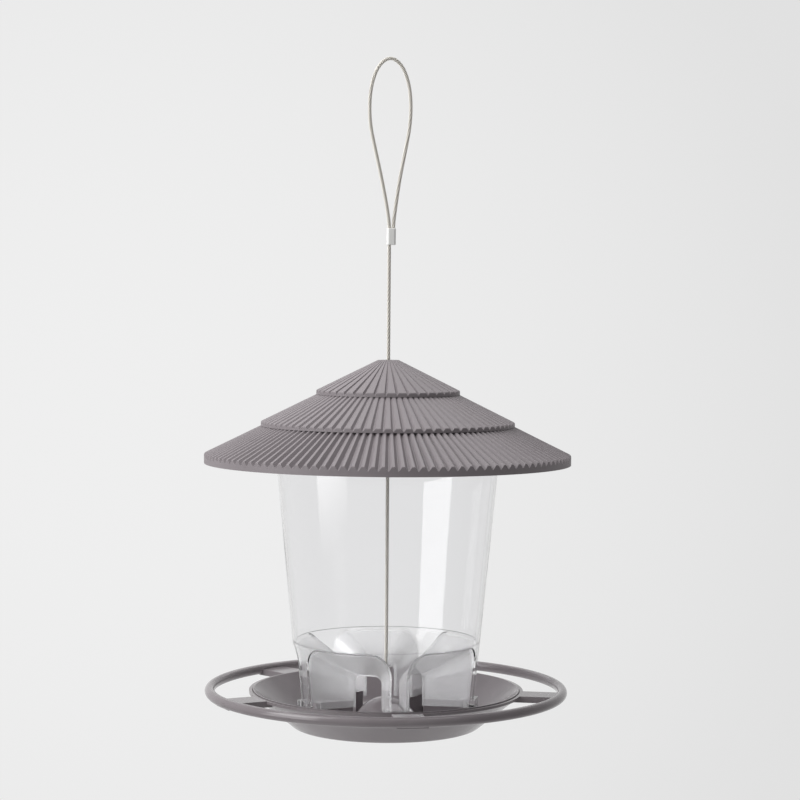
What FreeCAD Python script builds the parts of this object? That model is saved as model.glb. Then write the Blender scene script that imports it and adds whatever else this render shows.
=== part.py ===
import FreeCAD, Part
import math
import os
import Sketcher

# A hanging silo bird feeder: a ribbed three-tier roof over a clear tapered hopper, which
# stands on a feeding tray with a ring perch. One wire rope carries it all. It runs up the
# axis from a stop under the tray and ends in a crimped loop. The origin is the point of
# the loop where it hangs, +Z is up, and one of the five ports' arms points along -Y.
doc = FreeCAD.newDocument("silo_bird_feeder")
sheet = doc.addObject("Spreadsheet::Sheet", "Sizes")

# Driving sizes in millimetres. A drop is a depth below the hanging point.
SIZES = (
    ("cable_dia", 2.5, "wire rope"),
    ("cable_end_drop", 449.4, "lower end of the rope"),
    ("cable_joint_drop", 119.3, "rope enters the loop, inside the ferrule"),
    ("tail_drop", 123.9, "end of the loop's tail, inside the ferrule"),
    ("tail_offset", 2.6, "tail beside the standing rope"),
    ("crimp_squeeze", 0.06, "a crimp's bore is this much tighter than the rope"),
    ("ferrule_drop", 113.7, "top of the loop's ferrule"),
    ("ferrule_height", 11.2, "ferrule along the rope"),
    ("ferrule_width", 6.3, "ferrule across both strands"),
    ("ferrule_depth", 3.8, "ferrule across one strand"),
    ("ferrule_round", 1.7, "rounded sides of the ferrule"),
    ("ferrule_edge", 0.4, "rounded ends of the ferrule"),
    ("stop_dia", 6.0, "crimped stop under the tray"),
    ("stop_height", 9.0, "length of the stop"),
    ("stop_chamfer", 0.6, "ends of the stop"),
    ("washer_dia", 14.0, "washer above the stop"),
    ("washer_bore", 3.4, "hole of the washer"),
    ("washer_thick", 1.2, "washer"),
    ("roof_bore", 4.2, "hole for the rope in the roof and the tray"),
    ("roof_top_drop", 203.2, "flat top of the roof"),
    ("roof_top_radius", 7.4, "flat top of the roof"),
    ("tier_radius_a", 49.0, "rim of the top tier"),
    ("tier_corner_a", 223.8, "drop of its rim's upper corner"),
    ("tier_edge_a", 226.7, "drop of its rim's lower edge"),
    ("tier_radius_b", 86.6, "rim of the middle tier"),
    ("tier_corner_b", 245.3, "drop of its rim's upper corner"),
    ("tier_edge_b", 248.2, "drop of its rim's lower edge"),
    ("tier_radius_c", 125.0, "rim of the bottom tier"),
    ("tier_corner_c", 267.1, "drop of its rim's upper corner"),
    ("tier_edge_c", 273.6, "drop of its rim's lower edge"),
    ("rim_round", 1.6, "rounded upper corner of the rims"),
    ("skin", 3.5, "roof from its ridges to its inside, measured upright"),
    ("fascia", 2.4, "thickness of the bottom rim"),
    ("neck_a", 43.6, "inside of the step under the top tier"),
    ("seat_inner", 75.5, "inner edge of the ledge that rests on the hopper"),
    ("seat_outer", 79.1, "outer edge of that ledge"),
    ("ring_thick", 2.0, "locating ring round the ledge"),
    ("ring_height", 5.4, "locating ring round the ledge"),
    ("hopper_top_drop", 246.6, "hopper's upper edge"),
    ("hopper_top_radius", 78.4, "hopper's upper edge, outside"),
    ("hopper_wall", 2.0, "hopper wall"),
    ("port_line_drop", 394.9, "joint of the hopper and the port base"),
    ("port_line_radius", 64.3, "outside radius at that joint"),
    ("base_bottom_drop", 438.2, "lower edge of the port base"),
    ("base_bottom_radius", 60.2, "outside radius at that edge"),
    ("base_wall", 1.8, "wall of the port base"),
    ("arm_width", 13.6, "hollow arm between two ports, outside"),
    ("notch_top_drop", 396.5, "upper edge of a port's recess, at the outside"),
    ("port_top_drop", 416.2, "top of a port's arch, at the throat"),
    ("throat_radius", 27.0, "inner ends of the walls"),
    ("arch_throat", 5.0, "rounding of a recess's corners at the throat"),
    ("arch_outer", 16.0, "rounding of a recess's corners at the outside"),
    ("shoe_length", 7.0, "foot round the end of an arm"),
    ("shoe_height", 5.0, "foot round the end of an arm"),
    ("shoe_proud", 2.2, "foot stands out from the wall"),
    ("tray_rim_radius", 93.8, "rim of the tray"),
    ("tray_rim_drop", 428.9, "top of the rim"),
    ("lip_width", 2.7, "flat lip of the rim"),
    ("lip_thick", 1.8, "flat lip of the rim"),
    ("bead_rise", 0.6, "edge inside the lip, above it"),
    ("bead_edge", 0.3, "chamfer of that edge"),
    ("bead_groove", 0.6, "groove between that edge and the lip"),
    ("tray_bottom_drop", 454.1, "underside of the tray"),
    ("tray_bottom_radius", 61.0, "flat underside"),
    ("tray_slope_out", 64.6, "outer slope starts, above the rounded edge"),
    ("tray_slope_rise", 1.25, "height of that rounded edge"),
    ("tray_edge_round", 6.0, "rounded edge of the underside"),
    ("tray_slope_top", 92.0, "outer slope meets the lip"),
    ("floor_drop", 452.0, "floor of the bowl"),
    ("floor_radius", 56.2, "flat floor"),
    ("bowl_slope", 67.1, "inner slope starts"),
    ("bowl_slope_rise", 3.7, "height of the floor's rounding"),
    ("bowl_round", 18.0, "rounding between floor and slope"),
    ("bowl_top", 90.2, "inner slope meets the edge inside the lip"),
    ("dome_radius", 22.5, "dome that spreads the seed"),
    ("dome_foot", 22.05, "dome meets the floor"),
    ("dome_top_drop", 434.1, "dome at the rope's hole"),
    ("dome_inner_radius", 20.4, "hollow of the dome"),
    ("dome_mouth", 20.26, "mouth of that hollow"),
    ("crown_drop", 438.2, "flat seat for the washer under the dome"),
    ("crown_radius", 9.0, "flat seat for the washer"),
    ("rib_inner", 26.5, "inner end of a rib under an arm"),
    ("rib_outer", 54.0, "outer end of that rib"),
    ("rib_width", 7.0, "rib under an arm"),
    ("rib_top_drop", 434.2, "top of a rib, inside its arm"),
    ("pad_inner", 52.0, "block that an arm's end stands on"),
    ("pad_outer", 63.0, "outer end of that block"),
    ("pad_width", 15.0, "block across the arm"),
    ("perch_radius", 120.5, "centre line of the perch"),
    ("perch_dia", 6.8, "perch"),
    ("perch_drop", 429.2, "centre line of the perch"),
    ("spoke_width", 20.5, "spoke between tray and perch"),
    ("spoke_thick", 4.2, "spoke"),
    ("spoke_clear", 0.2, "spokes stop this short of the bowl's side"),
)
for row, (alias, number, meaning) in enumerate(SIZES, 1):
    sheet.set(f"A{row}", meaning)
    sheet.set(f"B{row}", str(number))
    sheet.setAlias(f"B{row}", alias)
doc.recompute()

ARMS = 5
TURN = 360.0 / ARMS


def value(terms):
    """Adds up sheet sizes written like 'tray_rim_radius - lip_width' or 'rib_width/2'."""
    total = 0.0
    sign = 1.0
    for word in terms.split():
        if word in ("+", "-"):
            sign = 1.0 if word == "+" else -1.0
        else:
            alias, _, divisor = word.partition("/")
            total += sign * float(sheet.get(alias)) / float(divisor or 1)
    return total


def formula(terms):
    """The same sum as a spreadsheet expression."""
    words = [word if word in ("+", "-") else f"Sizes.{word}" for word in terms.split()]
    return " ".join(words)


def opposite(terms):
    """The same sum with every sign turned round."""
    words = terms.split()
    if words[0] not in ("+", "-"):
        words.insert(0, "+")
    swapped = [{"+": "-", "-": "+"}.get(word, word) for word in words]
    return " ".join(swapped).removeprefix("+ ")


def body(label):
    made = doc.addObject("PartDesign::Body", label)
    made.Label = label
    return made


def sketch_on(owner, role, name):
    plane = next(p for p in owner.Origin.OriginFeatures if p.Role == role)
    sketch = owner.newObject("Sketcher::SketchObject", name)
    sketch.AttachmentSupport = [(plane, "")]
    sketch.MapMode = "FlatFace"
    return sketch


def hold(sketch, kind, target, terms):
    """Ties a point or curve of the sketch to a sum of sheet sizes."""
    index = sketch.addConstraint(Sketcher.Constraint(kind, *target, value(terms)))
    sketch.setExpression(f"Constraints[{index}]", formula(terms))


def arc_between(start, end, radius, turn):
    """Arc from start to end; turn is +1 where it bends to the left and -1 to the right."""
    chord = end - start
    middle = (start + end) * 0.5
    left = FreeCAD.Vector(-chord.y, chord.x, 0).normalize()
    half = chord.Length / 2
    centre = middle + left * turn * math.sqrt(radius ** 2 - half ** 2)
    bulge = centre - left * turn * radius
    return Part.Arc(start, bulge, end)


def outline(sketch, corners, rounds=None):
    """Closed outline through corners, given as pairs of sums of sheet sizes. rounds maps the
    number of a side to the radius and the bend of the arc that takes its place."""
    rounds = rounds or {}
    points = [FreeCAD.Vector(value(across), value(up), 0) for across, up in corners]
    count = len(points)
    for side in range(count):
        start = points[side]
        end = points[(side + 1) % count]
        if side in rounds:
            radius, turn = rounds[side]
            sketch.addGeometry(arc_between(start, end, value(radius), turn))
        else:
            sketch.addGeometry(Part.LineSegment(start, end))
    first = [1] * count
    for side in rounds:
        first[side] = 1 if sketch.getPoint(side, 1).distanceToPoint(points[side]) < 1e-6 else 2
    for side in range(count):
        following = (side + 1) % count
        sketch.addConstraint(
            Sketcher.Constraint("Coincident", side, 3 - first[side], following, first[following])
        )
    for side, (across, up) in enumerate(corners):
        hold(sketch, "DistanceX", (-1, 1, side, first[side]), across)
        hold(sketch, "DistanceY", (-1, 1, side, first[side]), up)
    for side, (radius, turn) in rounds.items():
        hold(sketch, "Radius", (side,), radius)


def revolved(owner, name, corners, rounds=None, kind="Revolution"):
    """Turns an outline in the XZ plane about the vertical axis, to add or, as a Groove, to cut."""
    sketch = sketch_on(owner, "XZ_Plane", name + "_outline")
    outline(sketch, corners, rounds)
    turned = owner.newObject(f"PartDesign::{kind}", name)
    turned.Profile = sketch
    turned.ReferenceAxis = (sketch, ["V_Axis"])
    turned.Angle = 360
    return turned


def padded(owner, name, corners, drop, height):
    """Raises an outline in a level plane at that drop by that height."""
    sketch = sketch_on(owner, "XY_Plane", name + "_outline")
    sketch.setExpression("AttachmentOffset.Base.z", formula(opposite(drop)))
    outline(sketch, corners)
    raised = owner.newObject("PartDesign::Pad", name)
    raised.Profile = sketch
    raised.setExpression("Length", formula(height))
    return raised


def around(owner, name, features):
    """Repeats features once for each arm."""
    axis = next(a for a in owner.Origin.OriginFeatures if a.Role == "Z_Axis")
    pattern = owner.newObject("PartDesign::PolarPattern", name)
    pattern.Originals = features
    pattern.Axis = (axis, [""])
    pattern.Angle = 360
    pattern.Occurrences = ARMS
    owner.Tip = pattern
    return pattern


def block(across, near, far):
    """Corners of a block of that half width, from near to far along -Y."""
    return (
        (opposite(across), opposite(far)),
        (across, opposite(far)),
        (across, opposite(near)),
        (opposite(across), opposite(near)),
    )


def rope_tube(label, route):
    """Round rope along straight runs joined by the largest tangent arcs that they allow."""
    points = [FreeCAD.Vector(*point) for point in route]
    edges = []
    radii = []
    at = points[0]
    for before, corner, after in zip(points, points[1:], points[2:]):
        into = corner - before
        out = after - corner
        setback = 0.45 * min(into.Length, out.Length)
        half_turn = into.getAngle(out) / 2
        radii.append(setback / math.tan(half_turn))
        into.normalize()
        out.normalize()
        start = corner - into * setback
        end = corner + out * setback
        inward = (out - into).normalize()
        inset = radii[-1] * (1 / math.cos(half_turn) - 1)
        edges.append(Part.LineSegment(at, start).toShape())
        edges.append(Part.Arc(start, corner + inward * inset, end).toShape())
        at = end
    edges.append(Part.LineSegment(at, points[-1]).toShape())
    path = Part.Wire(edges)
    radius = value("cable_dia/2")
    first_way = points[1] - points[0]
    section = Part.Wire(Part.makeCircle(radius, points[0], first_way))
    tube = doc.addObject("Part::Feature", label)
    tube.Label = label
    tube.Shape = path.makePipeShell([section], True, False)
    expected = math.pi * radius ** 2 * path.Length
    print(label, "length", round(path.Length, 1), "radii", [round(r, 1) for r in radii])
    print(label, "volume", round(tube.Shape.Volume, 1), "expected", round(expected, 1))
    return tube


# Hanger: the rope's straight stretch, its loop, the ferrule, the stop and the washer.
hanger_cable = doc.addObject("Part::Cylinder", "hanger_cable")
hanger_cable.Label = "hanger_cable"
hanger_cable.setExpression("Radius", formula("cable_dia/2"))
hanger_cable.setExpression("Height", formula("cable_end_drop - cable_joint_drop"))
hanger_cable.setExpression("Placement.Base.z", formula("- cable_end_drop"))

LOOP_ROUTE = (
    (0.0, 0, -value("cable_joint_drop")),
    (0.0, 0, -111.5),
    (-1.6, 0, -100.0),
    (-5.5, 0, -80.0),
    (-9.8, 0, -61.5),
    (-14.1, 0, -42.0),
    (-14.1, 0, -22.4),
    (-10.7, 0, -8.7),
    (-6.1, 0, -1.3),
    (0.0, 0, 2.1),
    (6.1, 0, -1.3),
    (10.7, 0, -8.7),
    (14.1, 0, -22.4),
    (14.1, 0, -42.0),
    (10.5, 0, -61.5),
    (6.8, 0, -80.0),
    (4.0, 0, -100.0),
    (value("tail_offset"), 0, -111.5),
    (value("tail_offset"), 0, -value("tail_drop")),
)
hanger_loop = rope_tube("hanger_loop", LOOP_ROUTE)


def level_edges(shape):
    """Names of the straight level edges of a shape."""
    return [
        f"Edge{number}"
        for number, edge in enumerate(shape.Edges, 1)
        if edge.BoundBox.ZLength < 1e-3 and edge.Curve.TypeId == "Part::GeomLine"
    ]


def upright_edges(shape):
    """Names of the straight upright edges of a shape."""
    return [
        f"Edge{number}"
        for number, edge in enumerate(shape.Edges, 1)
        if edge.BoundBox.DiagonalLength - edge.BoundBox.ZLength < 1e-3
    ]


def ferrule():
    """Pressed oval sleeve round the standing rope, which is on the axis, and the tail."""
    made = body("loop_ferrule")
    left = "tail_offset/2 - ferrule_width/2"
    right = "tail_offset/2 + ferrule_width/2"
    side = "ferrule_depth/2"
    corners = ((left, opposite(side)), (right, opposite(side)), (right, side), (left, side))
    sleeve = padded(made, "ferrule_sleeve", corners, "ferrule_drop + ferrule_height", "ferrule_height")
    doc.recompute()
    sides = made.newObject("PartDesign::Fillet", "ferrule_sides")
    sides.Base = (sleeve, upright_edges(sleeve.Shape))
    sides.setExpression("Radius", formula("ferrule_round"))
    doc.recompute()
    ends = made.newObject("PartDesign::Fillet", "ferrule_ends")
    ends.Base = (sides, level_edges(sides.Shape))
    ends.setExpression("Radius", formula("ferrule_edge"))
    holes = sketch_on(made, "XY_Plane", "ferrule_holes")
    bore = "cable_dia/2 - crimp_squeeze/2"
    for number, across in enumerate(("", "tail_offset")):
        centre = FreeCAD.Vector(value(across), 0, 0)
        holes.addGeometry(Part.Circle(centre, FreeCAD.Vector(0, 0, 1), value(bore)))
        hold(holes, "Radius", (number,), bore)
    holes.addConstraint(Sketcher.Constraint("Coincident", 0, 3, -1, 1))
    holes.addConstraint(Sketcher.Constraint("PointOnObject", 1, 3, -1))
    hold(holes, "DistanceX", (-1, 1, 1, 3), "tail_offset")
    bores = made.newObject("PartDesign::Pocket", "ferrule_bores")
    bores.Profile = holes
    bores.Type = "ThroughAll"
    return made


loop_ferrule = ferrule()

end_washer = body("end_washer")
revolved(end_washer, "washer_ring", (
    ("washer_bore/2", "- crown_drop - washer_thick"),
    ("washer_dia/2", "- crown_drop - washer_thick"),
    ("washer_dia/2", "- crown_drop"),
    ("washer_bore/2", "- crown_drop"),
))

end_stop = body("end_stop")
revolved(end_stop, "stop_sleeve", (
    ("cable_dia/2 - crimp_squeeze/2", "- crown_drop - washer_thick - stop_height"),
    ("stop_dia/2 - stop_chamfer", "- crown_drop - washer_thick - stop_height"),
    ("stop_dia/2", "- crown_drop - washer_thick - stop_height + stop_chamfer"),
    ("stop_dia/2", "- crown_drop - washer_thick - stop_chamfer"),
    ("stop_dia/2 - stop_chamfer", "- crown_drop - washer_thick"),
    ("cable_dia/2 - crimp_squeeze/2", "- crown_drop - washer_thick"),
))

# Tray: a bowl with a sloping side and a flat lip, a hollow dome in the middle, and under
# each arm of the port base a rib and a block that carry it.
feeding_tray = body("feeding_tray")
revolved(
    feeding_tray,
    "bowl",
    (
        ("roof_bore/2", "- dome_top_drop"),
        ("dome_foot", "- floor_drop"),
        ("floor_radius", "- floor_drop"),
        ("bowl_slope", "- floor_drop + bowl_slope_rise"),
        ("bowl_top", "- tray_rim_drop + bead_rise/2"),
        ("bowl_top + bead_edge", "- tray_rim_drop + bead_rise"),
        ("tray_rim_radius - lip_width", "- tray_rim_drop + bead_rise"),
        ("tray_rim_radius - lip_width", "- tray_rim_drop - bead_groove"),
        ("tray_rim_radius - lip_width + bead_groove", "- tray_rim_drop"),
        ("tray_rim_radius", "- tray_rim_drop"),
        ("tray_rim_radius", "- tray_rim_drop - lip_thick"),
        ("tray_slope_top", "- tray_rim_drop - lip_thick"),
        ("tray_slope_out", "- tray_bottom_drop + tray_slope_rise"),
        ("tray_bottom_radius", "- tray_bottom_drop"),
        ("dome_mouth", "- tray_bottom_drop"),
        ("crown_radius", "- crown_drop"),
        ("roof_bore/2", "- crown_drop"),
    ),
    {
        0: ("dome_radius", -1),
        2: ("bowl_round", 1),
        12: ("tray_edge_round", -1),
        14: ("dome_inner_radius", 1),
    },
)
tray_rib = padded(
    feeding_tray,
    "tray_rib",
    block("rib_width/2", "rib_inner", "rib_outer"),
    "floor_drop",
    "floor_drop - rib_top_drop",
)
tray_pad = padded(
    feeding_tray,
    "tray_pad",
    block("pad_width/2", "pad_inner", "pad_outer"),
    "floor_drop",
    "floor_drop - base_bottom_drop",
)
around(feeding_tray, "tray_supports", [tray_rib, tray_pad])

# Perch: a round ring held off the tray by five flat spokes, which run in under the lip.
perch_ring = body("perch_ring")
ring_sketch = sketch_on(perch_ring, "XZ_Plane", "perch_section")
ring_sketch.addGeometry(
    Part.Circle(
        FreeCAD.Vector(value("perch_radius"), value("- perch_drop"), 0),
        FreeCAD.Vector(0, 0, 1),
        value("perch_dia/2"),
    )
)
hold(ring_sketch, "Radius", (0,), "perch_dia/2")
hold(ring_sketch, "DistanceX", (-1, 1, 0, 3), "perch_radius")
hold(ring_sketch, "DistanceY", (-1, 1, 0, 3), "- perch_drop")
ring = perch_ring.newObject("PartDesign::Revolution", "perch_tube")
ring.Profile = ring_sketch
ring.ReferenceAxis = (ring_sketch, ["V_Axis"])
ring.Angle = 360
spoke = padded(
    perch_ring,
    "spoke",
    block("spoke_width/2", "tray_rim_radius - spoke_width/2", "perch_radius"),
    "tray_rim_drop + spoke_thick",
    "spoke_thick",
)
around(perch_ring, "spokes", [spoke])
perch_ring.Tip = revolved(
    perch_ring,
    "tray_seat",
    (
        ("tray_slope_out", "- tray_bottom_drop + tray_slope_rise"),
        ("tray_slope_top + spoke_clear", "- tray_rim_drop - lip_thick"),
        ("tray_rim_radius", "- tray_rim_drop - lip_thick"),
        ("tray_rim_radius", "- tray_rim_drop + perch_dia"),
        ("tray_slope_out", "- tray_rim_drop + perch_dia"),
    ),
    kind="Groove",
)

# Hopper: a plain tapered tube.
hopper_cone = body("hopper_cone")
revolved(hopper_cone, "hopper_wall", (
    ("port_line_radius - hopper_wall", "- port_line_drop"),
    ("port_line_radius", "- port_line_drop"),
    ("hopper_top_radius", "- hopper_top_drop"),
    ("hopper_top_radius - hopper_wall", "- hopper_top_drop"),
))


def turned_copies(name, original):
    """One compound of an object, repeated once for each arm."""
    links = []
    for number in range(ARMS):
        link = doc.addObject("App::Link", f"{name}_{number}")
        link.LinkedObject = original
        link.LinkTransform = True
        link.Placement = FreeCAD.Placement(
            FreeCAD.Vector(0, 0, 0), FreeCAD.Rotation(FreeCAD.Vector(0, 0, 1), number * TURN)
        )
        links.append(link)
    group = doc.addObject("Part::Compound", name)
    group.Links = links
    return group


def notch(name, growth, throat):
    """The space of one port's recess, grown on all sides: it lies between two arms' walls,
    under a ceiling that slopes down to the throat, and has rounded upper corners."""
    low = value("base_bottom_drop") + 10.0
    reach = value("port_line_radius") + 10.0
    rise = value("port_top_drop - notch_top_drop")
    slope = rise / value("port_line_radius - throat_radius")
    lift = growth * math.sqrt(1 + slope ** 2)

    def ceiling(radius):
        return -value("port_top_drop") + lift + slope * (radius - value("throat_radius"))

    section = Part.makePolygon([
        FreeCAD.Vector(throat, 0, -low),
        FreeCAD.Vector(reach, 0, -low),
        FreeCAD.Vector(reach, 0, ceiling(reach)),
        FreeCAD.Vector(throat, 0, ceiling(throat)),
        FreeCAD.Vector(throat, 0, -low),
    ])
    ring = Part.Face(section).revolve(FreeCAD.Vector(), FreeCAD.Vector(0, 0, 1), 360)
    half_angle = math.radians(TURN / 2)
    tip = (value("arm_width/2") - growth) / math.sin(half_angle)
    wide = 1.5 * reach
    spread = (wide - tip) * math.tan(half_angle)
    wedge = Part.Face(Part.makePolygon([
        FreeCAD.Vector(0, tip, -low),
        FreeCAD.Vector(spread, wide, -low),
        FreeCAD.Vector(-spread, wide, -low),
        FreeCAD.Vector(0, tip, -low),
    ])).extrude(FreeCAD.Vector(0, 0, low))
    space = ring.common(wedge)
    corners = [
        edge
        for edge in space.Edges
        if edge.BoundBox.ZMin > -low + 1 and edge.BoundBox.YLength > reach / 3
    ]
    inner = value("arch_throat") + growth
    outer = value("arch_outer") + growth
    for edge in corners:
        starts_inside = edge.valueAt(edge.FirstParameter).y < edge.valueAt(edge.LastParameter).y
        ends = (inner, outer) if starts_inside else (outer, inner)
        space = space.makeFillet(*ends, [edge_like(space, edge)])
    made = doc.addObject("Part::Feature", name)
    made.Shape = space
    return made


def edge_like(shape, wanted):
    """The edge of a shape that has the same middle point."""
    middle = wanted.CenterOfMass
    return min(shape.Edges, key=lambda edge: edge.CenterOfMass.distanceToPoint(middle))


def tapered(name, inset, above, below):
    """The port base's cone, moved in by inset and run on above and below its ends."""
    slope = value("port_line_radius - base_bottom_radius") / value("base_bottom_drop - port_line_drop")
    cone = doc.addObject("Part::Cone", name)
    cone.setExpression(
        "Radius1", formula("base_bottom_radius") + f" - {inset} - {slope} * {below}"
    )
    cone.setExpression("Radius2", formula("port_line_radius") + f" - {inset} + {slope} * {above}")
    cone.setExpression("Height", formula("base_bottom_drop - port_line_drop") + f" + {above + below}")
    cone.setExpression("Placement.Base.z", formula("- base_bottom_drop") + f" - {below}")
    return cone


def minus(name, base, tool):
    made = doc.addObject("Part::Cut", name)
    made.Base = base
    made.Tool = tool
    return made


# Port base: a cone with five recesses, so that five hollow arms are left, all of one wall.
# The seed space inside it is the same form, smaller by the wall.
wall = value("base_wall")
shoe = doc.addObject("Part::Box", "shoe")
shoe.setExpression("Length", formula("arm_width + shoe_proud + shoe_proud"))
shoe.setExpression("Width", formula("shoe_length + shoe_proud"))
shoe.setExpression("Height", formula("shoe_height"))
shoe.setExpression("Placement.Base.x", formula("- arm_width/2 - shoe_proud"))
shoe.setExpression("Placement.Base.y", formula("- base_bottom_radius - shoe_proud"))
shoe.setExpression("Placement.Base.z", formula("- base_bottom_drop"))
outer_notch = notch("recess", 0.0, value("throat_radius") - 3 * wall)
inner_notch = notch("recess_with_wall", wall, value("throat_radius"))
outer_form = minus("base_form", tapered("base_cone", 0.0, 0.0, 0.0), turned_copies("recesses", outer_notch))
seed_space = minus(
    "seed_space", tapered("seed_cone", wall, 1.0, 1.0), turned_copies("walled_recesses", inner_notch)
)
shod_form = doc.addObject("Part::MultiFuse", "shod_form")
shod_form.Shapes = [outer_form, turned_copies("shoes", shoe)]
port_base = minus("port_base", shod_form, seed_space)
port_base.Label = "port_base"


# Roof: a stepped shell of one moulding. Each tier's upper face is a many-sided pyramid whose
# sides are ridges and grooves that run to the axis.
TIERS = (
    ("a", 42, 0.35, 0.68, 0.08, 0.060),
    ("b", 82, 0.16, 0.48, 0.10, 0.038),
    ("c", 123, -0.25, 0.28, 0.10, 0.042),
)
roof_shell = body("roof_shell")
shell = revolved(roof_shell, "shell", (
    ("roof_bore/2", "- roof_top_drop"),
    ("roof_top_radius", "- roof_top_drop"),
    ("tier_radius_a", "- tier_corner_a"),
    ("tier_radius_a", "- tier_edge_a"),
    ("tier_radius_b", "- tier_corner_b"),
    ("tier_radius_b", "- tier_edge_b"),
    ("tier_radius_c", "- tier_corner_c"),
    ("tier_radius_c", "- tier_edge_c"),
    ("tier_radius_c - fascia", "- tier_edge_c"),
    ("tier_radius_c - fascia", "- tier_corner_c - fascia"),
    ("seat_outer + ring_thick", "- tier_edge_b - fascia"),
    ("seat_outer + ring_thick", "- hopper_top_drop - ring_height"),
    ("seat_outer", "- hopper_top_drop - ring_height"),
    ("seat_outer", "- hopper_top_drop"),
    ("seat_inner", "- hopper_top_drop"),
    ("seat_inner", "- tier_corner_b + hopper_wall"),
    ("neck_a", "- tier_edge_a - fascia"),
    ("neck_a", "- tier_edge_a + ring_thick"),
    ("roof_top_radius", "- roof_top_drop - skin"),
    ("roof_bore/2", "- roof_top_drop - skin"),
))
doc.recompute()


def rim_edges(shape):
    """Names of the upper edges of the three rims."""
    names = []
    for number, edge in enumerate(shape.Edges, 1):
        for tier, *_ in TIERS:
            at_rim = abs(edge.BoundBox.XMax - value(f"tier_radius_{tier}")) < 1e-3
            at_corner = abs(edge.CenterOfMass.z + value(f"tier_corner_{tier}")) < 1e-3
            if at_rim and at_corner and edge.BoundBox.ZLength < 1e-3:
                names.append(f"Edge{number}")
    return names


rims = roof_shell.newObject("PartDesign::Fillet", "rims")
rims.Base = (shell, rim_edges(shell.Shape))
rims.setExpression("Radius", formula("rim_round"))


def fluted_tier(tier, count, shift, ridge, groove, depth):
    """Pyramid of ridges and grooves: shift is how far the first ridge is turned, ridge and groove
    are their widths, all as shares of one repeat, and depth is how far a groove lies inside a
    ridge, as a share of the radius."""
    rim = value(f"tier_radius_{tier}")
    corner = -value(f"tier_corner_{tier}")
    if tier == "a":
        inner, start = value("roof_top_radius"), -value("roof_top_drop")
    else:
        above = "a" if tier == "b" else "b"
        inner, start = value(f"tier_radius_{above}"), -value(f"tier_edge_{above}")
    slope = (start - corner) / (rim - inner)
    apex = corner + slope * rim - 0.15
    low = -value(f"tier_edge_{tier}")
    if tier == "c":
        low -= 0.05
    high = start + 1.0
    marks = (-ridge / 2, ridge / 2, 0.5 - groove / 2, 0.5 + groove / 2)
    insides = (1.0, 1.0, 1.0 - depth, 1.0 - depth)
    rings = []
    for level in (low, high):
        reach = (apex - level) / slope
        points = []
        for number in range(count):
            for mark, inside in zip(marks, insides):
                angle = 2 * math.pi * (number + shift + mark) / count
                radius = reach * inside
                points.append(
                    FreeCAD.Vector(radius * math.sin(angle), -radius * math.cos(angle), level)
                )
        rings.append(points + points[:1])
    bottom, top = rings
    faces = [Part.Face(Part.makePolygon(points)) for points in rings]
    for side in range(len(points)):
        corners = (bottom[side], bottom[side + 1], top[side + 1], top[side], bottom[side])
        faces.append(Part.Face(Part.makePolygon(corners)))
    made = doc.addObject("Part::Feature", f"flutes_{tier}")
    made.Shape = Part.Solid(Part.makeShell(faces))
    return made


flutes = doc.addObject("Part::MultiFuse", "flutes")
flutes.Shapes = [fluted_tier(*tier) for tier in TIERS]
roof = doc.addObject("Part::Common", "roof")
roof.Label = "roof"
roof.Base = roof_shell
roof.Tool = flutes

doc.recompute()
SUBPARTS = (
    roof,
    hopper_cone,
    port_base,
    feeding_tray,
    perch_ring,
    hanger_cable,
    hanger_loop,
    loop_ferrule,
    end_stop,
    end_washer,
)
failed = [made.Label for made in doc.Objects if {"Invalid", "Error"} & set(made.State)]
if failed:
    raise RuntimeError(f"not built: {failed}")
for made in SUBPARTS:
    if made.Shape.isNull() or not made.Shape.isValid() or len(made.Shape.Solids) != 1:
        raise RuntimeError(f"{made.Label} is not one valid solid")
    box = made.Shape.BoundBox
    print(made.Label, "volume", round(made.Shape.Volume, 1), "z", round(box.ZMin, 2), round(box.ZMax, 2))

os.makedirs("parts", exist_ok=True)
for made in SUBPARTS:
    made.Shape.exportStep(f"parts/{made.Label}.step")
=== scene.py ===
import math

import bpy
import numpy as np
from mathutils import Euler, Matrix, Vector


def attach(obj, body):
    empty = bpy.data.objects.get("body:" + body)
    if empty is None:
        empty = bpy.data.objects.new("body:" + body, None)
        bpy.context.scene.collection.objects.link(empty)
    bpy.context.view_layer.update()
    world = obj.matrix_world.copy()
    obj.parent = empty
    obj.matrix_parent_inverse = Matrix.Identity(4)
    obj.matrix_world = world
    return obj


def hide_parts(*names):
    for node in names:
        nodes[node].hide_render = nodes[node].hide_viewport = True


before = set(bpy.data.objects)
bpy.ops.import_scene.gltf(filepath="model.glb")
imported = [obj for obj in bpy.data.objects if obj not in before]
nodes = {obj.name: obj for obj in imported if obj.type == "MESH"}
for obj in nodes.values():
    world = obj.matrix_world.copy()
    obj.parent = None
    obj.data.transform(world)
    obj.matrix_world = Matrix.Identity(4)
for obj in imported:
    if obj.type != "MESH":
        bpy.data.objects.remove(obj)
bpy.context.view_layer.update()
scene = bpy.context.scene


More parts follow.
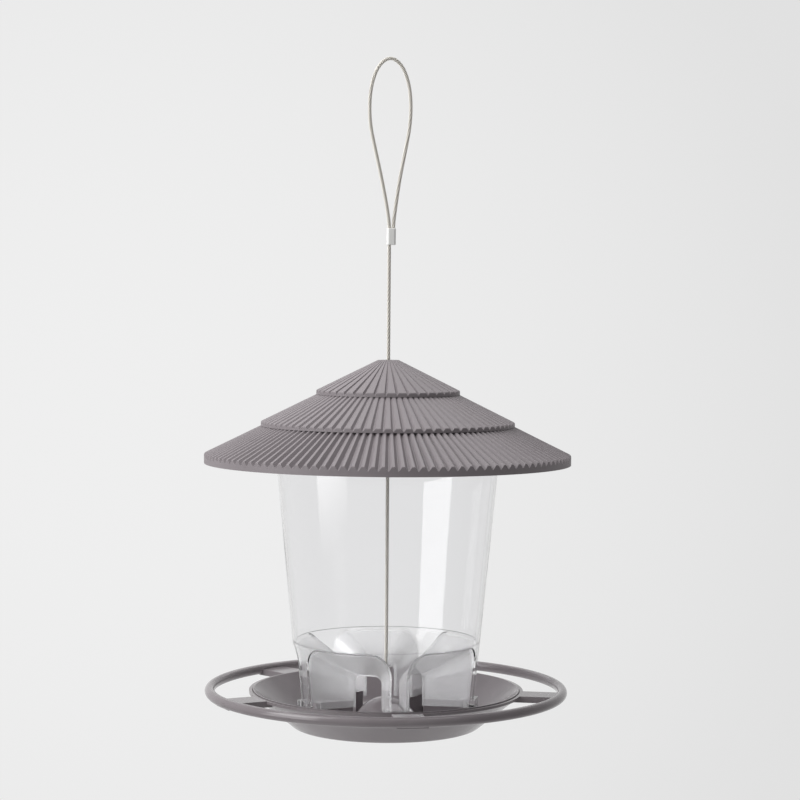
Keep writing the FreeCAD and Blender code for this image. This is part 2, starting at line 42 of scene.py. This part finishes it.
# The hanger is one stainless wire rope, six wire strands twisted round a core. It runs from its
# stop under the tray up through the whole feeder, round the hanging loop and back to the ferrule.
ROPE_DIAMETER = 0.0025
ROPE_STRANDS = 6
ROPE_LAY = 0.0172
STRAND_RADIUS = ROPE_DIAMETER / 6
STRAND_WIRES = 6
STRAND_CORNERS = 2 * STRAND_WIRES
STRAND_LAY = 0.011
WIRE_GROOVE = 0.84
RING_STEP = 0.0008
CURVE_STEPS = 48
ROPE_ROUTE = (
    (0, 0, -0.4494),
    (0, 0, -0.1193),
    (0, 0, -0.1115),
    (-0.0016, 0, -0.1),
    (-0.0055, 0, -0.08),
    (-0.0098, 0, -0.0615),
    (-0.0141, 0, -0.042),
    (-0.0141, 0, -0.0224),
    (-0.0107, 0, -0.0087),
    (-0.0061, 0, -0.0013),
    (0, 0, 0.0021),
    (0.0061, 0, -0.0013),
    (0.0107, 0, -0.0087),
    (0.0141, 0, -0.0224),
    (0.0141, 0, -0.042),
    (0.0105, 0, -0.0615),
    (0.0068, 0, -0.08),
    (0.004, 0, -0.1),
    (0.0026, 0, -0.1115),
    (0.0026, 0, -0.1239),
)

line = bpy.data.curves.new("rope_line", "CURVE")
line.dimensions = "3D"
line.resolution_u = CURVE_STEPS
run = line.splines.new("NURBS")
run.points.add(len(ROPE_ROUTE) - 1)
for point, place in zip(run.points, ROPE_ROUTE):
    point.co = (*place, 1)
run.order_u = 3
run.use_endpoint_u = True
guide = bpy.data.objects.new("rope_line", line)
scene.collection.objects.link(guide)
traced = bpy.data.meshes.new_from_object(guide)
drawn = np.array([vertex.co for vertex in traced.vertices])
bpy.data.objects.remove(guide)
bpy.data.meshes.remove(traced)
bpy.data.curves.remove(line)

# Even stations along the rope's line, each with a ring of every strand.
reach = np.concatenate([[0], np.cumsum(np.linalg.norm(np.diff(drawn, axis=0), axis=1))])
stations = np.linspace(0, reach[-1], round(reach[-1] / RING_STEP))
rope_line = np.stack([np.interp(stations, reach, drawn[:, axis]) for axis in range(3)], axis=1)


def unit(vectors):
    """The same directions with a length of one."""
    return vectors / np.linalg.norm(vectors, axis=-1, keepdims=True)


def strand_rings(number):
    """The rings of points of one twisted strand, lobed by its wires. Strand 0 is the core."""
    ahead = unit(np.gradient(rope_line, axis=0))
    across = np.broadcast_to([0.0, 1.0, 0.0], ahead.shape)
    aside = unit(np.cross(ahead, across))
    turn = 2 * math.pi * (stations / ROPE_LAY + number / ROPE_STRANDS)
    outward = np.cos(turn)[:, None] * aside + np.sin(turn)[:, None] * across
    swing = 2 * STRAND_RADIUS if number else 0
    centre = rope_line + swing * outward
    forward = unit(np.gradient(centre, axis=0))
    sideways = unit(np.cross(forward, outward))
    upward = np.cross(sideways, forward)
    rings = []
    for corner in range(STRAND_CORNERS):
        angle = math.pi * corner / STRAND_WIRES - 2 * math.pi * stations / STRAND_LAY
        size = STRAND_RADIUS * (1 if corner % 2 == 0 else WIRE_GROOVE)
        spoke = np.cos(angle)[:, None] * upward + np.sin(angle)[:, None] * sideways
        rings.append(centre + size * spoke)
    return np.stack(rings, axis=1)


def tube_faces(first, rings, corners):
    """The quads of a tube of rings, and its two end caps, from a first vertex on."""
    faces = []
    for ring in range(rings - 1):
        low = first + ring * corners
        for corner in range(corners):
            beside = (corner + 1) % corners
            faces.append((low + corner, low + beside, low + corners + beside, low + corners + corner))
    last = first + (rings - 1) * corners
    faces.append(tuple(range(first + corners - 1, first - 1, -1)))
    faces.append(tuple(range(last, last + corners)))
    return faces


def smooth_mesh(name, points, faces):
    """A new smooth-shaded object in the scene."""
    mesh = bpy.data.meshes.new(name)
    mesh.from_pydata([tuple(point) for point in points], [], faces)
    mesh.validate()
    mesh.polygons.foreach_set("use_smooth", [True] * len(mesh.polygons))
    made = bpy.data.objects.new(name, mesh)
    scene.collection.objects.link(made)
    return made


rope_points = []
rope_faces = []
rope_crowns = []
for number in range(ROPE_STRANDS + 1):
    rings = strand_rings(number)
    rope_faces += tube_faces(len(rope_points), len(rings), STRAND_CORNERS)
    rope_points += list(rings.reshape(-1, 3))
    rope_crowns.append(np.linalg.norm(rings - rope_line[:, None, :], axis=-1) / (ROPE_DIAMETER / 2))
rope = smooth_mesh("wire_rope", rope_points, rope_faces)
crown = rope.data.attributes.new("crown", "FLOAT", "POINT")
crown.data.foreach_set("value", np.concatenate(rope_crowns).ravel())

# Bright drawn wire on the crowns of the strands, with painted shade that darkens the colour nearly to
# black where they meet.
ROPE_GAP_SHADE = (0.08, 0.068, 0.055)
ROPE_CROWN = (0.98, 0.94, 0.86)
CROWN_START = 0.78
CROWN_FULL = 0.93
ROPE_BARE = 0.1
ROPE_ROUGHNESS = (0.4, 0.55)
ROPE_GRAIN = 2600
ROPE_RELIEF = (0.00003, 0.5)
NOISE_LOW = 0.3
NOISE_HIGH = 0.7
ROUGH_DETAIL = 3
SOFT_DETAIL = 2


def adder(tree):
    """A way to add nodes to a node tree, with their settings and input values by name."""

    def add(kind, **settings):
        node = tree.nodes.new(kind)
        for key, setting in settings.items():
            if hasattr(node, key):
                setattr(node, key, setting)
            else:
                node.inputs[key.replace("_", " ").title()].default_value = setting
        return node

    return add


def shader(name):
    """A new material with its node tree, its surface shader and a way to add nodes."""
    material = bpy.data.materials.new(name)
    material.use_nodes = True
    tree = material.node_tree
    return material, tree, tree.nodes["Principled BSDF"], adder(tree)


def ranged(add, tree, source, start, end, low, high, **settings):
    """A value that goes from low to high while its source goes from start to end."""
    mapped = add("ShaderNodeMapRange", from_min=start, from_max=end, to_min=low, to_max=high, **settings)
    tree.links.new(source, mapped.inputs["Value"])
    return mapped.outputs["Result"]


def spread(add, tree, noise, low, high):
    """A noise value spread over a range."""
    return ranged(add, tree, noise, NOISE_LOW, NOISE_HIGH, low, high)


def tint(add, tree, source, dark, light, start=NOISE_LOW, end=NOISE_HIGH):
    """A colour that goes from dark to light while its source goes from start to end."""
    ramp = add("ShaderNodeValToRGB")
    for element, position, colour in zip(ramp.color_ramp.elements, (start, end), (dark, light)):
        element.position = position
        element.color = (*colour, 1)
    tree.links.new(source, ramp.inputs["Fac"])
    return ramp.outputs["Color"]


def grain(add, tree, scale, detail, stretch=(1, 1, 1)):
    """A noise in the object's own space, with grains 1/scale metres across."""
    place = add("ShaderNodeTexCoord")
    mapping = add("ShaderNodeMapping")
    mapping.inputs["Scale"].default_value = stretch
    noise = add("ShaderNodeTexNoise", scale=scale, detail=detail)
    tree.links.new(place.outputs["Object"], mapping.inputs["Vector"])
    tree.links.new(mapping.outputs["Vector"], noise.inputs["Vector"])
    return noise.outputs["Fac"]


def raised(add, tree, surface, height, depth, strength):
    """A bump on a surface from a height value, with its depth in metres."""
    bump = add("ShaderNodeBump", strength=strength, distance=depth)
    tree.links.new(height, bump.inputs["Height"])
    tree.links.new(bump.outputs["Normal"], surface.inputs["Normal"])


rope_steel, tree, surface, add = shader("wire_rope_steel")
surface.inputs["Metallic"].default_value = ROPE_BARE
# Painted shade: the colour darkens from the strands' crowns into the gaps between them.
height = add("ShaderNodeAttribute", attribute_name="crown").outputs["Fac"]
shade = tint(add, tree, height, ROPE_GAP_SHADE, ROPE_CROWN, CROWN_START, CROWN_FULL)
drawing = grain(add, tree, ROPE_GRAIN, ROUGH_DETAIL)
tree.links.new(shade, surface.inputs["Base Color"])
tree.links.new(spread(add, tree, drawing, *ROPE_ROUGHNESS), surface.inputs["Roughness"])
raised(add, tree, surface, drawing, *ROPE_RELIEF)
rope.data.materials.append(rope_steel)
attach(rope, "hanger")
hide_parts("hanger_cable", "hanger_loop")


# The ferrule that closes the loop and the stop under the tray are aluminium sleeves pressed on the
# rope, dulled by the press. A steel washer lies between the stop and the tray.
SLEEVE_COLOURS = ((0.94, 0.94, 0.92), (0.97, 0.97, 0.95))
SLEEVE_ROUGHNESS = (0.4, 0.55)
SLEEVE_GRAIN = 1500
SLEEVE_BARE = 0.1
WASHER_COLOURS = ((0.5, 0.5, 0.49), (0.62, 0.61, 0.6))
WASHER_ROUGHNESS = (0.25, 0.4)
WASHER_GRAIN = 1800
WASHER_BARE = 1.0
PATCH_GRAINS = 12
METAL_RELIEF = (0.00004, 0.5)


def metal(name, colours, roughness, grain_scale, bare):
    """Bare or dulled metal, with a fine grain in its gloss and surface and broad patches of colour."""
    material, tree, surface, add = shader(name)
    surface.inputs["Metallic"].default_value = bare
    fine = grain(add, tree, grain_scale, ROUGH_DETAIL)
    broad = grain(add, tree, grain_scale / PATCH_GRAINS, SOFT_DETAIL)
    tree.links.new(tint(add, tree, broad, *colours), surface.inputs["Base Color"])
    tree.links.new(spread(add, tree, fine, *roughness), surface.inputs["Roughness"])
    raised(add, tree, surface, fine, *METAL_RELIEF)
    return material


sleeve_metal = metal("pressed_aluminium", SLEEVE_COLOURS, SLEEVE_ROUGHNESS, SLEEVE_GRAIN, SLEEVE_BARE)
washer_metal = metal("washer_steel", WASHER_COLOURS, WASHER_ROUGHNESS, WASHER_GRAIN, WASHER_BARE)
nodes["loop_ferrule"].material_slots[0].material = sleeve_metal
nodes["end_stop"].material_slots[0].material = sleeve_metal
nodes["end_washer"].material_slots[0].material = washer_metal


# The tray and its perch ring are one grey polypropylene moulding with a satin skin. The rope's
# washer holds it from below.
TRAY_COLOURS = ((0.198, 0.176, 0.186), (0.223, 0.2, 0.21))
TRAY_ROUGHNESS = (0.12, 0.18)
MOULD_CLOUDS = 38
MOULD_GRAIN = 2300
MOULD_RELIEF = (0.00002, 0.3)


def moulded_grey(name, colours, roughness):
    """Grey moulded plastic: fine texture, uneven gloss and slightly uneven colour."""
    material, tree, surface, add = shader(name)
    cloud = grain(add, tree, MOULD_CLOUDS, ROUGH_DETAIL)
    fine = grain(add, tree, MOULD_GRAIN, SOFT_DETAIL)
    tree.links.new(tint(add, tree, cloud, *colours), surface.inputs["Base Color"])
    tree.links.new(spread(add, tree, cloud, *roughness), surface.inputs["Roughness"])
    raised(add, tree, surface, fine, *MOULD_RELIEF)
    return material


tray_grey = moulded_grey("tray_grey", TRAY_COLOURS, TRAY_ROUGHNESS)
nodes["feeding_tray"].material_slots[0].material = tray_grey
nodes["perch_ring"].material_slots[0].material = tray_grey


# The hopper is clear polystyrene. Its cone is a plain tapered wall, polished by the mould, with faint
# waves along the way that the plastic flowed.
CLEAR_TINT = (0.99, 0.99, 0.995)
CLEAR_IOR = 1.49
CLEAR_ROUGHNESS = (0.0, 0.012)
FLOW_WAVES = 30
FLOW_STRETCH = (1, 1, 0.35)
FLOW_RELIEF = (0.0003, 0.4)


def lamps_through(tree, surface, add, colour):
    """Lets lamps shine through a clear surface to what is inside."""
    rays = add("ShaderNodeLightPath")
    passing = add("ShaderNodeBsdfTransparent")
    passing.inputs["Color"].default_value = (*colour, 1)
    either = add("ShaderNodeMixShader")
    tree.links.new(rays.outputs["Is Shadow Ray"], either.inputs["Fac"])
    tree.links.new(surface.outputs["BSDF"], either.inputs[1])
    tree.links.new(passing.outputs["BSDF"], either.inputs[2])
    tree.links.new(either.outputs["Shader"], tree.nodes["Material Output"].inputs["Surface"])


clear_hopper, tree, surface, add = shader("clear_hopper")
surface.inputs["Base Color"].default_value = (*CLEAR_TINT, 1)
surface.inputs["Transmission Weight"].default_value = 1
surface.inputs["IOR"].default_value = CLEAR_IOR
flow = grain(add, tree, FLOW_WAVES, SOFT_DETAIL, FLOW_STRETCH)
tree.links.new(spread(add, tree, flow, *CLEAR_ROUGHNESS), surface.inputs["Roughness"])
raised(add, tree, surface, flow, *FLOW_RELIEF)
lamps_through(tree, surface, add, CLEAR_TINT)
nodes["hopper_cone"].material_slots[0].material = clear_hopper


# The port base is the hopper's lower end, in the same clear polystyrene. Its outer skin is clear, and
# the walls of its five recesses are frosted by the mould. It stands on the tray by five arms.
FROST_TINT = (0.97, 0.97, 0.975)
FROST_CLEAR = 0.74
FROST_ROUGHNESS = 0.2
SKIN_ROUGHNESS = 0.06
MIST_GRAIN = 420
MIST_SPREAD = (0.85, 1.15)
PORT_LINE_HEIGHT = -0.3949
PORT_LINE_RADIUS = 0.0643
BASE_BOTTOM_HEIGHT = -0.4382
BASE_BOTTOM_RADIUS = 0.0602
SKIN_DEPTH = 0.0024
FROST_DEPTH = 0.0036


def from_axis(add, tree, place):
    """How far a place lies from the feeder's axis."""
    level = add("ShaderNodeVectorMath", operation="MULTIPLY")
    level.inputs[1].default_value = (1, 1, 0)
    distance = add("ShaderNodeVectorMath", operation="LENGTH")
    tree.links.new(place, level.inputs[0])
    tree.links.new(level.outputs["Vector"], distance.inputs[0])
    return distance.outputs["Value"]


def combined(add, tree, operation, first, second):
    """The result of a sum with two values."""
    worked = add("ShaderNodeMath", operation=operation)
    tree.links.new(first, worked.inputs[0])
    tree.links.new(second, worked.inputs[1])
    return worked.outputs["Value"]


# How deep a point of the port base lies under its outer skin, and so how frosted it is.
frosted_ports, tree, surface, add = shader("frosted_ports")
place = add("ShaderNodeTexCoord").outputs["Object"]
apart = add("ShaderNodeSeparateXYZ")
tree.links.new(place, apart.inputs["Vector"])
skin = ranged(
    add, tree, apart.outputs["Z"], BASE_BOTTOM_HEIGHT, PORT_LINE_HEIGHT,
    BASE_BOTTOM_RADIUS, PORT_LINE_RADIUS, clamp=False,
)
depth = combined(add, tree, "SUBTRACT", skin, from_axis(add, tree, place))
frost = ranged(add, tree, depth, SKIN_DEPTH, FROST_DEPTH, 0, 1, interpolation_type="SMOOTHSTEP")

mist = grain(add, tree, MIST_GRAIN, SOFT_DETAIL)
clearness = ranged(add, tree, frost, 0, 1, 1, FROST_CLEAR)
dullness = ranged(add, tree, frost, 0, 1, SKIN_ROUGHNESS, FROST_ROUGHNESS)
misted = combined(add, tree, "MULTIPLY", dullness, spread(add, tree, mist, *MIST_SPREAD))
surface.inputs["IOR"].default_value = CLEAR_IOR
tree.links.new(tint(add, tree, frost, CLEAR_TINT, FROST_TINT, 0, 1), surface.inputs["Base Color"])
tree.links.new(clearness, surface.inputs["Transmission Weight"])
tree.links.new(misted, surface.inputs["Roughness"])
lamps_through(tree, surface, add, FROST_TINT)
nodes["port_base"].material_slots[0].material = frosted_ports


# The roof is one ribbed grey moulding of three stacked tiers, with the matt skin of a spark-eroded
# mould. It rests on the hopper's rim and slides up the rope.
ROOF_COLOURS = ((0.213, 0.189, 0.2), (0.238, 0.212, 0.224))
ROOF_ROUGHNESS = (0.5, 0.62)

nodes["roof"].material_slots[0].material = moulded_grey("roof_grey", ROOF_COLOURS, ROOF_ROUGHNESS)


# The view: the feeder hangs at eye height, seen through a long lens from about one and a half
# metres away, a little to one side of its front arm.
VIEW_PLACE = (-0.2150, -1.4759, -0.1664)
VIEW_TURN = math.radians(-8.6)
VIEW_TILT = math.radians(90 - 2.46)
VIEW_ROLL = math.radians(0.44)
VIEW_LENS = 98.46
VIEW_SENSOR = 36
VIEW_NEAREST = 0.05

view = bpy.data.objects.new("view", bpy.data.cameras.new("view"))
view.data.sensor_width = VIEW_SENSOR
view.data.lens = VIEW_LENS
view.data.clip_start = VIEW_NEAREST
view.location = VIEW_PLACE
facing = Euler((VIEW_TILT, 0, VIEW_TURN)).to_matrix() @ Matrix.Rotation(VIEW_ROLL, 3, "Z")
view.rotation_euler = facing.to_euler()
scene.collection.objects.link(view)
scene.camera = view
scene.view_settings.view_transform = "Standard"


# The stage: a round pale floor below the feeder, matt as painted board, which fades out at its edge
# into a pale surround.
FLOOR_HEIGHT = -1.05
FLOOR_RINGS = (0.3, 0.6, 0.9, 1.2, 1.5)
FLOOR_CORNERS = 96
FLOOR_FADE = (0.3, 1.2)
FLOOR_COLOUR = (0.8, 0.8, 0.8)
FLOOR_ROUGHNESS = 0.9

floor_points = []
for size in FLOOR_RINGS:
    for corner in range(FLOOR_CORNERS):
        angle = 2 * math.pi * corner / FLOOR_CORNERS
        floor_points.append((size * math.cos(angle), size * math.sin(angle), FLOOR_HEIGHT))
floor_faces = [tuple(range(FLOOR_CORNERS))]
for ring in range(len(FLOOR_RINGS) - 1):
    low = ring * FLOOR_CORNERS
    for corner in range(FLOOR_CORNERS):
        beside = (corner + 1) % FLOOR_CORNERS
        floor_faces.append(
            (low + corner, low + FLOOR_CORNERS + corner, low + FLOOR_CORNERS + beside, low + beside)
        )
floor = smooth_mesh("floor", floor_points, floor_faces)
floor_paint, tree, surface, add = shader("floor_paint")
surface.inputs["Base Color"].default_value = (*FLOOR_COLOUR, 1)
surface.inputs["Roughness"].default_value = FLOOR_ROUGHNESS
distance = from_axis(add, tree, add("ShaderNodeTexCoord").outputs["Object"])
fade = ranged(add, tree, distance, *FLOOR_FADE, 1, 0, interpolation_type="SMOOTHSTEP")
tree.links.new(fade, surface.inputs["Alpha"])
floor.data.materials.append(floor_paint)

# The surround is brightest behind the feeder and dims towards the view's side. Its levels go with how
# near a direction is to the brightest heading: 1 is along it, and 0.5 is square to it.
GLOW_HEADING = (-0.003, 0.9985, -0.054)
GLOW_LEVELS = ((0.5, 0.3), (0.66, 0.45), (0.8, 0.62), (0.9, 0.72), (0.97, 0.757), (1.0, 0.862))

surround = bpy.data.worlds.new("pale_surround")
surround.use_nodes = True
scene.world = surround
tree = surround.node_tree
add = adder(tree)
towards = add("ShaderNodeVectorMath", operation="DOT_PRODUCT")
towards.inputs[1].default_value = GLOW_HEADING
tree.links.new(add("ShaderNodeTexCoord").outputs["Generated"], towards.inputs[0])
levels = add("ShaderNodeValToRGB")
while len(levels.color_ramp.elements) < len(GLOW_LEVELS):
    levels.color_ramp.elements.new(GLOW_LEVELS[0][0])
for element, (position, level) in zip(levels.color_ramp.elements, GLOW_LEVELS):
    element.position = position
    element.color = (level, level, level, 1)
tree.links.new(ranged(add, tree, towards.outputs["Value"], -1, 1, 0, 1), levels.inputs["Fac"])
tree.links.new(levels.outputs["Color"], tree.nodes["Background"].inputs["Color"])

# A tall softbox and a higher key stand at the left, a large softbox hangs overhead and a weak one
# stands behind. The clear hopper mirrors the tall one, which dims towards its foot.
FEEDER_MIDDLE = -0.33
TALL_MIDDLE = 0.05
TALL_FOOT = 0.135


def softbox(name, turn, distance, height, aim, width, tall, radiance):
    """A softbox that faces the feeder's axis at the height aim. It stands at a turn in degrees from
    the view's side, positive to the right."""
    lamp = bpy.data.lights.new(name, "AREA")
    lamp.shape = "RECTANGLE"
    lamp.size = width
    lamp.size_y = tall
    lamp.energy = radiance * math.pi * width * tall
    angle = math.radians(turn) + VIEW_TURN
    place = Vector((math.sin(angle) * distance, -math.cos(angle) * distance, height))
    box = bpy.data.objects.new(name, lamp)
    box.location = place
    box.rotation_euler = (Vector((0, 0, aim)) - place).to_track_quat("-Z", "Y").to_euler()
    box.visible_camera = False
    scene.collection.objects.link(box)
    return lamp


tall_lamp = softbox(
    "left_softbox", turn=-60, distance=1.6, height=TALL_MIDDLE, aim=TALL_MIDDLE,
    width=1.03, tall=1.66, radiance=2.9,
)
softbox(
    "left_key", turn=-72, distance=1.414, height=1.084, aim=FEEDER_MIDDLE,
    width=1.1, tall=1.1, radiance=5.0,
)
softbox(
    "overhead_softbox", turn=-170, distance=0.4, height=1.6, aim=FEEDER_MIDDLE,
    width=1.8, tall=1.8, radiance=2.15,
)
softbox(
    "back_softbox", turn=180, distance=1.58, height=0.9, aim=FEEDER_MIDDLE,
    width=1.6, tall=1.2, radiance=0.5,
)

tall_lamp.use_nodes = True
tree = tall_lamp.node_tree
add = adder(tree)
up_box = add("ShaderNodeSeparateXYZ")
tree.links.new(add("ShaderNodeNewGeometry").outputs["Parametric"], up_box.inputs["Vector"])
dimmed = ranged(add, tree, up_box.outputs["Y"], 0, TALL_FOOT, 0, 1, interpolation_type="SMOOTHSTEP")
tree.links.new(dimmed, tree.nodes["Emission"].inputs["Strength"])
